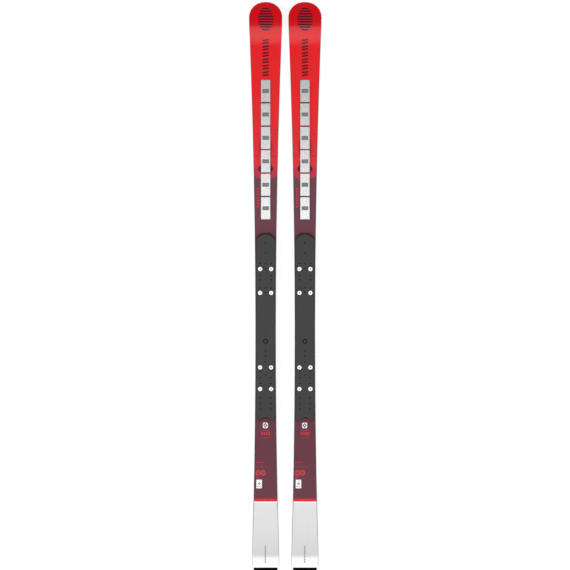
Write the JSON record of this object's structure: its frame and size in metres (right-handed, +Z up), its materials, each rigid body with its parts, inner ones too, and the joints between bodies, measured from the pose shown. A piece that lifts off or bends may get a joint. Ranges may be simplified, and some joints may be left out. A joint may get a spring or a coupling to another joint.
{
  "type": "alpine skis with race plates",
  "caption": "Pair of giant-slalom race skis with sidecut, camber and raised tips, each with a screwed-on race plate and a row of sliding shear dampers.",
  "frame": {"origin": "on the snow, midway between the two skis and at half their length", "axes": "+Y towards the tips, +X from the left ski to the right ski, +Z up out of the bases"},
  "size_m": [0.2312, 1.8149, 0.0508],
  "materials": {
    "base_polyethylene": "ground, waxed",
    "edge_steel": "ground",
    "foil_rubber": "hidden layer",
    "metal_sheet": "hidden layer",
    "core_wood": "laminated, hidden",
    "sidewall_plastic": "milled",
    "filler_plastic": "moulded",
    "topsheet_print": "printed under a clear gloss film, red to plum to light grey",
    "tail_metal": "satin",
    "tail_plastic": "moulded",
    "damper_rubber": "matt",
    "tile_metal": "bead blasted",
    "block_plastic": "moulded",
    "mat_rubber": "matt",
    "plate_plastic": "moulded, fine grain",
    "bumper_rubber": "matt",
    "screw_steel": "zinc plated",
    "washer_plastic": "moulded",
    "hub_plastic": "moulded"
  },
  "bodies": {
    "left_ski": {"left_running_base": "base_polyethylene", "left_edge_inner": "edge_steel", "left_edge_outer": "edge_steel", "left_edge_foil": "foil_rubber", "left_lower_sheet": "metal_sheet", "left_wood_core": "core_wood", "left_sidewall_inner": "sidewall_plastic", "left_sidewall_outer": "sidewall_plastic", "left_tip_filler": "filler_plastic", "left_tail_filler": "filler_plastic", "left_upper_sheet": "metal_sheet", "left_topsheet": "topsheet_print", "left_tail_lip": "tail_metal", "left_tail_protector": "tail_plastic", "left_damper_pads": "damper_rubber", "left_damper_blocks": "block_plastic", "left_plate_mat": "mat_rubber", "left_plate": "plate_plastic", "left_plate_bumper": "bumper_rubber", "left_plate_screws": "screw_steel", "left_plate_washers": "washer_plastic", "left_plate_hub": "hub_plastic"},
    "left_tile_1": {"left_damper_tile_1": "tile_metal"},
    "left_tile_2": {"left_damper_tile_2": "tile_metal"},
    "left_tile_3": {"left_damper_tile_3": "tile_metal"},
    "left_tile_4": {"left_damper_tile_4": "tile_metal"},
    "left_tile_5": {"left_damper_tile_5": "tile_metal"},
    "left_tile_6": {"left_damper_tile_6": "tile_metal"},
    "right_ski": {"right_running_base": "base_polyethylene", "right_edge_inner": "edge_steel", "right_edge_outer": "edge_steel", "right_edge_foil": "foil_rubber", "right_lower_sheet": "metal_sheet", "right_wood_core": "core_wood", "right_sidewall_inner": "sidewall_plastic", "right_sidewall_outer": "sidewall_plastic", "right_tip_filler": "filler_plastic", "right_tail_filler": "filler_plastic", "right_upper_sheet": "metal_sheet", "right_topsheet": "topsheet_print", "right_tail_lip": "tail_metal", "right_tail_protector": "tail_plastic", "right_damper_pads": "damper_rubber", "right_damper_blocks": "block_plastic", "right_plate_mat": "mat_rubber", "right_plate": "plate_plastic", "right_plate_bumper": "bumper_rubber", "right_plate_screws": "screw_steel", "right_plate_washers": "washer_plastic", "right_plate_hub": "hub_plastic"},
    "right_tile_1": {"right_damper_tile_1": "tile_metal"},
    "right_tile_2": {"right_damper_tile_2": "tile_metal"},
    "right_tile_3": {"right_damper_tile_3": "tile_metal"},
    "right_tile_4": {"right_damper_tile_4": "tile_metal"},
    "right_tile_5": {"right_damper_tile_5": "tile_metal"},
    "right_tile_6": {"right_damper_tile_6": "tile_metal"}
  },
  "joints": [
    {"name": "pair_slide", "type": "slide", "parent": "left_ski", "child": "right_ski", "axis": [0, 1, 0], "range_m": [-0.3, 0.3]},
    {"name": "left_damper_1", "type": "slide", "parent": "left_ski", "child": "left_tile_1", "axis": [0, 0.9997, -0.0245], "range_m": [-0.0008, 0.0008], "stiffness_N_per_m": 20000},
    {"name": "left_damper_2", "type": "slide", "parent": "left_ski", "child": "left_tile_2", "axis": [0, 0.9997, -0.0245], "range_m": [-0.0008, 0.0008], "stiffness_N_per_m": 20000},
    {"name": "left_damper_3", "type": "slide", "parent": "left_ski", "child": "left_tile_3", "axis": [0, 0.9997, -0.0245], "range_m": [-0.0008, 0.0008], "stiffness_N_per_m": 20000},
    {"name": "left_damper_4", "type": "slide", "parent": "left_ski", "child": "left_tile_4", "axis": [0, 0.9997, -0.0245], "range_m": [-0.0008, 0.0008], "stiffness_N_per_m": 20000},
    {"name": "left_damper_5", "type": "slide", "parent": "left_ski", "child": "left_tile_5", "axis": [0, 0.9997, -0.0245], "range_m": [-0.0008, 0.0008], "stiffness_N_per_m": 20000},
    {"name": "left_damper_6", "type": "slide", "parent": "left_ski", "child": "left_tile_6", "axis": [0, 0.9997, -0.0245], "range_m": [-0.0008, 0.0008], "stiffness_N_per_m": 20000},
    {"name": "right_damper_1", "type": "slide", "parent": "right_ski", "child": "right_tile_1", "axis": [0, 0.9997, -0.0245], "range_m": [-0.0008, 0.0008], "stiffness_N_per_m": 20000},
    {"name": "right_damper_2", "type": "slide", "parent": "right_ski", "child": "right_tile_2", "axis": [0, 0.9997, -0.0245], "range_m": [-0.0008, 0.0008], "stiffness_N_per_m": 20000},
    {"name": "right_damper_3", "type": "slide", "parent": "right_ski", "child": "right_tile_3", "axis": [0, 0.9997, -0.0245], "range_m": [-0.0008, 0.0008], "stiffness_N_per_m": 20000},
    {"name": "right_damper_4", "type": "slide", "parent": "right_ski", "child": "right_tile_4", "axis": [0, 0.9997, -0.0245], "range_m": [-0.0008, 0.0008], "stiffness_N_per_m": 20000},
    {"name": "right_damper_5", "type": "slide", "parent": "right_ski", "child": "right_tile_5", "axis": [0, 0.9997, -0.0245], "range_m": [-0.0008, 0.0008], "stiffness_N_per_m": 20000},
    {"name": "right_damper_6", "type": "slide", "parent": "right_ski", "child": "right_tile_6", "axis": [0, 0.9997, -0.0245], "range_m": [-0.0008, 0.0008], "stiffness_N_per_m": 20000}
  ]
}
